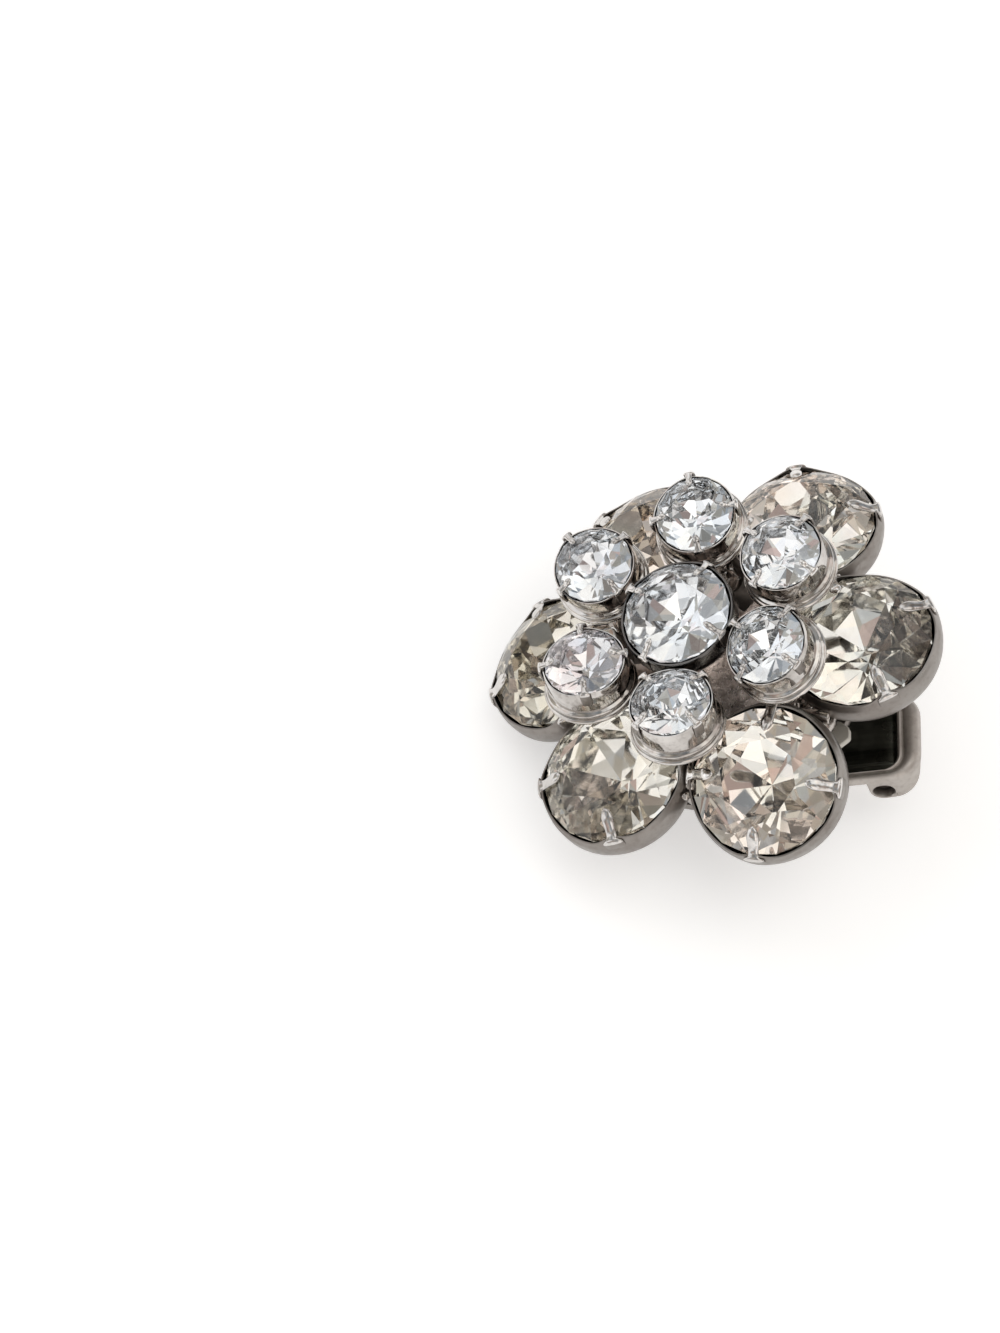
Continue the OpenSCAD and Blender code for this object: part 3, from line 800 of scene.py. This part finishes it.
def ear_rings(y0, y1):
    """An ear: its outline is a circle on the side away from the end bar, square above the pin and
    towards the bar; the hole is round, both edges are soft, and the rings run round the pin."""
    a = circle(96)
    cos, sin = np.cos(a), np.sin(a)
    east = BAR_REACH - CORNER_R - PIVOT_X - 0.01
    up = np.minimum(EAR_ROUND / np.maximum(np.abs(cos), 1e-6),
                    (-PIVOT_Z - 0.25) / np.maximum(sin, 1e-6))
    bar_side = np.minimum(east / np.maximum(cos, 1e-6), EAR_ROUND / np.maximum(-sin, 1e-6))
    outline = np.where(sin > 0, up, np.where(cos > 0, bar_side, EAR_ROUND))
    hole = PIN_R + PIN_GAP
    rings = []
    for rho, y in ((0, 0.1), (0, 0.9), (0.2, 1.0), (0.7, 1.0), (1.0, 0.9), (1.0, 0.1), (0.7, 0.0),
                   (0.2, 0.0)):
        radius = hole + (outline - hole) * rho
        rings.append(np.stack([PIVOT_X + radius * cos, np.full(96, y0 + (y1 - y0) * y),
                               PIVOT_Z + radius * sin], -1))
    return np.array(rings)


for side in (-1, 1):
    clip.tube(ear_rings(side * (FRAME_W / 2 - EAR_T), side * (FRAME_W / 2 - 0.012)), CLIP,
              looped=True)
clip.piece("clip_frame", "cluster", [CLIP_METAL], "setting", ["setting"], auto=40)

# a flat lug on top of the back plate, which reaches past its edge over the clip's window
lug = Shells()
lug.tube(plate_rings([(0.75, -6.0), (0.95, -6.93), (1.34, -8.39), (1.27, -9.08), (0.73, -9.51),
                      (-0.14, -9.25), (-0.3, -8.3), (-0.5, -6.3)], 0.16, PLATE_TOP - 0.05, -3.4),
         CLUSTER)
lug.piece("boss_lug", "cluster", [LUG], "setting", ["setting"], auto=40)

# the flat spring under the window, near black: painted shade seen through the window
tongue = Shells()
line = eased([[1.7, 0, -0.3], [2.7, 0, -0.35], [4.5, 0, -0.5], [6.2, 0, -0.56], [7.9, 0, -0.55],
              [8.75, 0, -0.54], [9.4, 0, -0.6], [9.8, 0, -0.8]], 30)
tongue.tube(swept(line, (0, 1, 0), 2.1, 0.09, n=20, power=5), CLIP)
for y in (-1.75, 1.75):
    tongue.tube(swept(line + (0, y, 0.09), (0, 1, 0), 0.12, 0.05, n=10), CLIP)
tongue.piece("flat_spring", "cluster", [INNER_SHADE], "setting", ["setting"], auto=40)

# the hinge's own place: its Z lies along the pin
HINGE = CLIP.within(np.array([[1, 0, 0], [0, 0, 1], [0, -1, 0]]), (PIVOT_X, 0, PIVOT_Z))
pin = Shells()
pin_half = FRAME_W / 2 - 0.45
pin.tube(revolved([[0.25, -pin_half], [0.5, -pin_half + 0.03], [PIN_R, -pin_half + 0.15],
                   [PIN_R, 0], [PIN_R, pin_half - 0.15], [0.5, pin_half - 0.03],
                   [0.25, pin_half]], 40), HINGE)
pin.piece("hinge_pin_round", "cluster", [PIN], "pin", ["hinge_pin"], auto=40)


# paddle

# The lever's middle line, in the clip's own plane: a flat run on the floor, a bend, and an arm up
# to the barrel on the pin. As in part.scad, the run's slope and drop follow from how it rests.
slope = math.radians(REST_LEAN - CLIP_SLOPE)
pivot = np.array([PIVOT_X, PIVOT_Z])
ca, sa = math.cos(math.radians(CLIP_SLOPE)), math.sin(math.radians(CLIP_SLOPE))
cl, sl = math.cos(math.radians(REST_LEAN)), math.sin(math.radians(REST_LEAN))
paddle_drop = (REST_AT[2] + sl * (pivot[0] * ca + pivot[1] * sa)
               + cl * (CLIP_TOP - pivot[0] * sa + pivot[1] * ca))
across = np.array([math.sin(slope), math.cos(slope)])
run_along = np.array([-math.cos(slope), math.sin(slope)])
foot = pivot - (paddle_drop - PADDLE_T / 2) * across
centre = foot + across * BEND_R + run_along * (foot[0] - BEND_REACH) / math.cos(slope)
reach = pivot - centre
length = np.linalg.norm(reach)
arm = math.degrees(math.atan2(reach[1], reach[0])) - math.degrees(
    math.acos((BEND_R - ARM_DROP) / length))
bend = arc(centre, BEND_R, -90 - math.degrees(slope), arm, 16)
arm_dir = np.array([-math.sin(math.radians(arm)), math.cos(math.radians(arm))])
arm_run = math.sqrt(length ** 2 - (BEND_R - ARM_DROP) ** 2)
run = bend[0] + run_along * np.linspace(RUN_LENGTH, 0.3, 26)[:, None]
arm_line = bend[-1] + arm_dir * np.linspace(0.3, arm_run, 12)[:, None]
lever = np.vstack([run, bend, arm_line])
lever = np.column_stack([lever[:, 0], np.zeros(len(lever)), lever[:, 1]])
x = lever[:, 0]
half_pad = PAD_W / 2
# half width by reach: a round end, the full pad, then a neck
end_width = np.sqrt(np.clip(1 - ((x[0] + half_pad - x) / half_pad).clip(0, 1) ** 2, 0.0, 1))
to_neck = climb(x, BEND_REACH - 1, 2.0)
to_neck = to_neck * to_neck * (3 - 2 * to_neck)
half_width = half_pad * end_width * (1 - to_neck) + NECK_W / 2 * to_neck
half_width = np.maximum(half_width, 0.25)
paddle = Shells()
paddle.tube(swept(lever, (0, 1, 0), half_width, PADDLE_T / 2, n=28, power=7), CLIP)
barrel = revolved([[0.7, -BARREL_W / 2], [0.95, -BARREL_W / 2], [BARREL_R, -BARREL_W / 2 + 0.1],
                   [BARREL_R, BARREL_W / 2 - 0.1], [0.95, BARREL_W / 2], [0.7, BARREL_W / 2],
                   [PIN_R + PIN_GAP, BARREL_W / 2 - 0.05], [PIN_R + PIN_GAP, -BARREL_W / 2 + 0.05]],
                  48)
# the barrel round the pin takes the near-black inner material: painted shade
paddle.tube(barrel, HINGE, looped=True, slot=1)
paddle.piece("clip_lever", "paddle", [CLIP_METAL, INNER_SHADE], "clip", ["clip_paddle"], auto=40)


# floor, light and camera

floor = material("pale_floor")
floor_where = floor.place()
floor_tone = floor.noise(floor_where, 0.02, 2)
# away from the earring the floor glows a little more, so that a low view sees one even white
away = floor.node("ShaderNodeVectorMath", {"operation": "LENGTH"}, {0: floor_where}, output="Value")
floor_material = floor.finish(
    Base_Color=floor.mix(floor_tone, (0.88, 0.88, 0.875), (0.91, 0.91, 0.91)), Roughness=0.9,
    Emission_Color=floor.mix(away.over(0.05, 0.4), (0.42, 0.42, 0.42), (0.72, 0.72, 0.72)),
    Emission_Strength=1.0)
mesh = bpy.data.meshes.new("floor")
mesh.from_pydata([(-3, -3, 0), (3, -3, 0), (3, 3, 0), (-3, 3, 0)], [], [(0, 1, 2, 3)])
mesh.materials.append(floor_material)
ground = bpy.data.objects.new("floor", mesh)
bpy.context.scene.collection.objects.link(ground)

world = bpy.data.worlds.new("studio")
bpy.context.scene.world = world
room = Paint(world)
heading = room.node("ShaderNodeTexCoord", output="Generated")
shapes = room.node("ShaderNodeTexNoise", {}, {
    "Vector": heading, "Scale": 2.7, "Detail": 2.0, "Roughness": 0.6})
tone = room.ramp(shapes, ((0.34, (0.26, 0.26, 0.26)), (0.42, (0.38, 0.38, 0.38)),
                          (0.50, (0.50, 0.50, 0.50)), (0.57, (0.64, 0.64, 0.64)),
                          (0.65, (0.82, 0.82, 0.82))))
moved = room.node("ShaderNodeVectorMath", {"operation": "ADD"}, {0: heading, 1: (5.3, 2.1, 7.7)})
tints = room.node("ShaderNodeTexNoise", {}, {"Vector": moved, "Scale": 2.6, "Detail": 1.0})
tint = room.ramp(tints, ((0.34, (0.82, 0.91, 1.0)), (0.42, (0.96, 0.98, 1.0)),
                         (0.50, (0.96, 0.95, 0.90)), (0.57, (1.0, 0.93, 0.80)),
                         (0.64, (1.0, 0.77, 0.70))))
light = room.mix(1.0, tone, tint, "MULTIPLY")
# a plain pale band at eye level, where a low view looks past the floor
rise = room.node("ShaderNodeSeparateXYZ", {}, {0: heading}, output="Z")
light = room.mix((rise * rise).over(0.0004, 0.02), (1.09, 1.09, 1.085), light)
glow = room.node("ShaderNodeBackground", {}, {"Color": light, "Strength": 0.9})
room.node("ShaderNodeOutputWorld", {}, {"Surface": glow}, output=None)


def panel(name, at, size, power, tint):
    """A square soft panel that looks at the earring: place and side in metres, power in watts."""
    light = bpy.data.lights.new(name, "AREA")
    light.shape, light.size, light.energy, light.color = "SQUARE", size, power, tint
    obj = bpy.data.objects.new(name, light)
    at = np.asarray(at, float)
    z = at / np.linalg.norm(at)
    x = np.cross((0, 0, 1), z)
    x = x / np.linalg.norm(x)
    y = np.cross(z, x)
    obj.matrix_world = Matrix([[x[i], y[i], z[i], at[i]] for i in range(3)] + [[0, 0, 0, 1]])
    bpy.context.scene.collection.objects.link(obj)


panel("window", (-0.22, 0.26, 0.30), 0.40, 0.38, (0.94, 0.97, 1.0))
panel("top", (0.12, 0.02, 0.42), 0.38, 0.36, (1.0, 0.99, 0.97))
panel("front", (0.10, -0.36, 0.20), 0.31, 0.235, (1.0, 0.95, 0.92))
panel("left", (-0.38, -0.10, 0.16), 0.28, 0.18, (0.98, 0.98, 1.0))
panel("right", (0.36, 0.10, 0.14), 0.24, 0.145, (1.0, 0.96, 0.93))

# the image's width in pixels, how many of them make a millimetre at the cluster, and how many
# millimetres away the camera is
IMAGE_W, PX_PER_MM, DISTANCE = 1000, 16.5094, 220.0
SENSOR_W = 36
camera = bpy.data.cameras.new("camera")
camera.sensor_fit = "HORIZONTAL"
camera.sensor_width = SENSOR_W
camera.lens = PX_PER_MM * DISTANCE / IMAGE_W * SENSOR_W
camera.clip_start, camera.clip_end = 0.01, 10
eye = bpy.data.objects.new("camera", camera)
CAMERA_AT = (-8.186, -109.257, 199.0)
RIGHT = (0.99926693, 0.0382636, -0.00122726)
UP = (-0.03267117, 0.86905175, 0.49364121)
BACK = (0.01995504, -0.49323924, 0.86966479)
eye.matrix_world = Matrix([[RIGHT[i], UP[i], BACK[i], CAMERA_AT[i] * MM] for i in range(3)]
                          + [[0, 0, 0, 1]])
bpy.context.scene.collection.objects.link(eye)
bpy.context.scene.camera = eye
bpy.context.scene.view_settings.view_transform = "Standard"
# light turns many times between the foil and the glass before it comes out again
bpy.context.scene.cycles.max_bounces = 20
bpy.context.scene.cycles.glossy_bounces = 14
